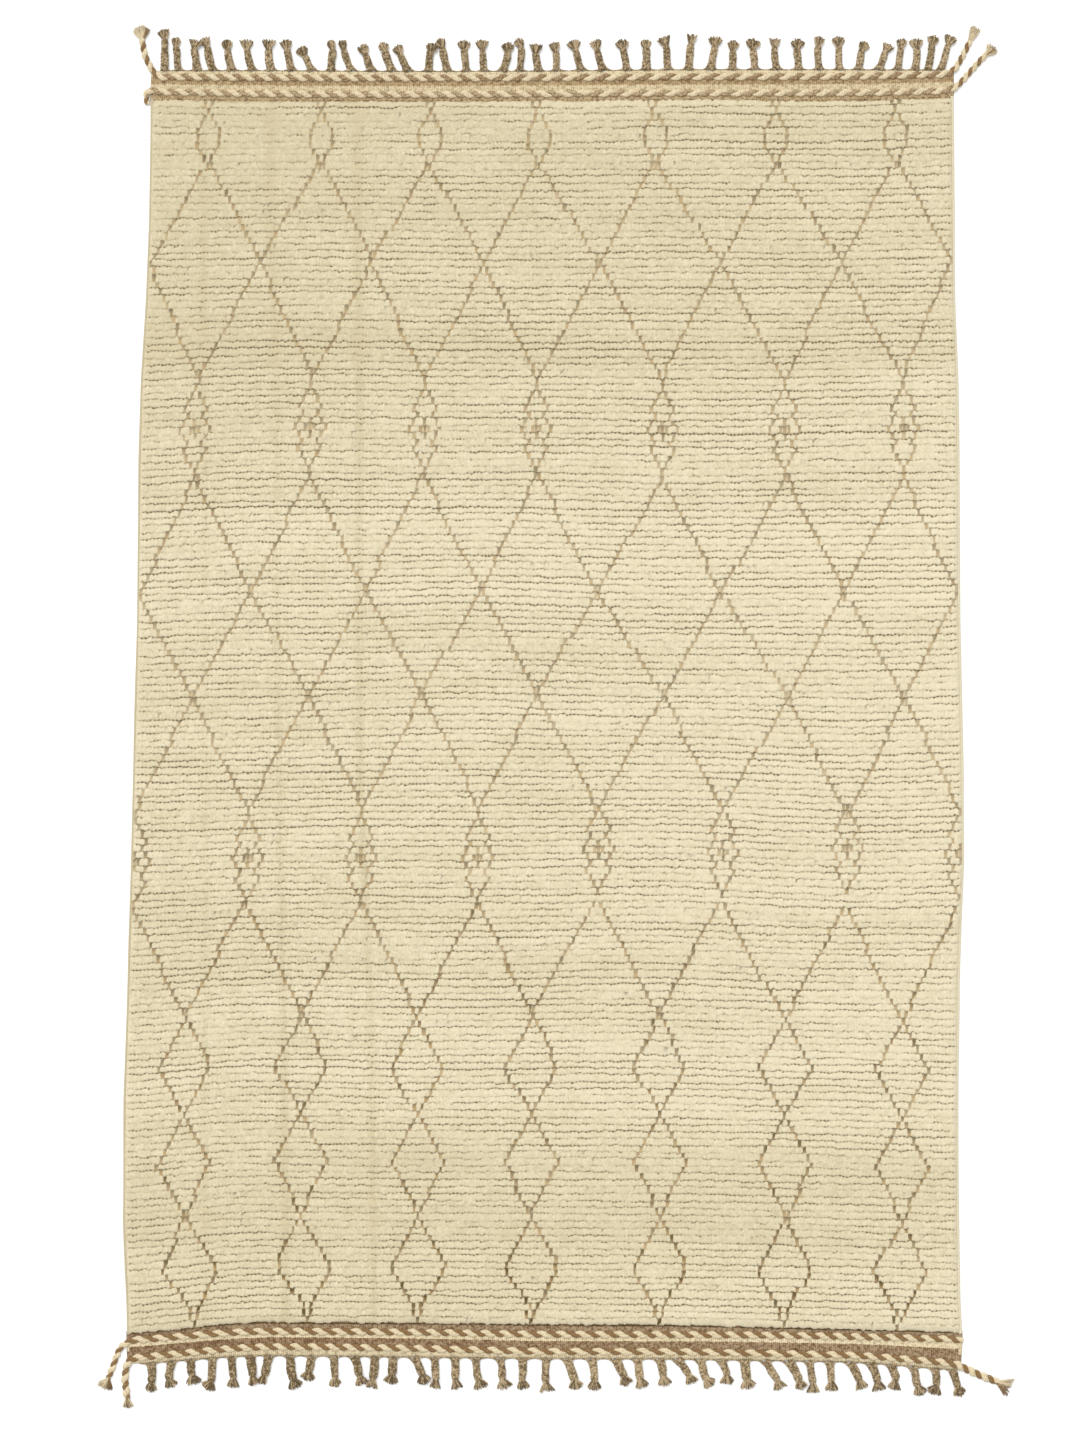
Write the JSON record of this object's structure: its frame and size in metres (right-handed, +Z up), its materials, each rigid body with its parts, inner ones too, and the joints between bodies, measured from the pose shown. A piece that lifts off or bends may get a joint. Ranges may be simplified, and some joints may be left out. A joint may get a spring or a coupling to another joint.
{
  "type": "afghan rug",
  "caption": "Flat hand-knotted floor rug with a cut pile, flat-woven end bands, twined two-colour cords with loose tails, and a braided fringe along each short end.",
  "frame": {"origin": "centre of the bounding box at floor level, under the middle of the rug", "axes": "+Z up from the floor through the pile, +Y along the rug towards its far short end, +X across it"},
  "size_m": [2.0222, 3.0688, 0.014],
  "materials": {
    "pile_and_weave": "undyed cream wool pile with a brown lattice, matt",
    "warp_braids": "grey-brown warp ends, braided, matt",
    "twined_yarns": "cream and brown yarns twined together, matt"
  },
  "bodies": {
    "root": {"rug_cloth": "pile_and_weave", "fringe_far": "warp_braids", "fringe_near": "warp_braids", "twined_cord_far_outer": "twined_yarns", "twined_cord_far_inner": "twined_yarns", "twined_cord_near_inner": "twined_yarns", "twined_cord_near_outer": "twined_yarns"}
  },
  "joints": []
}
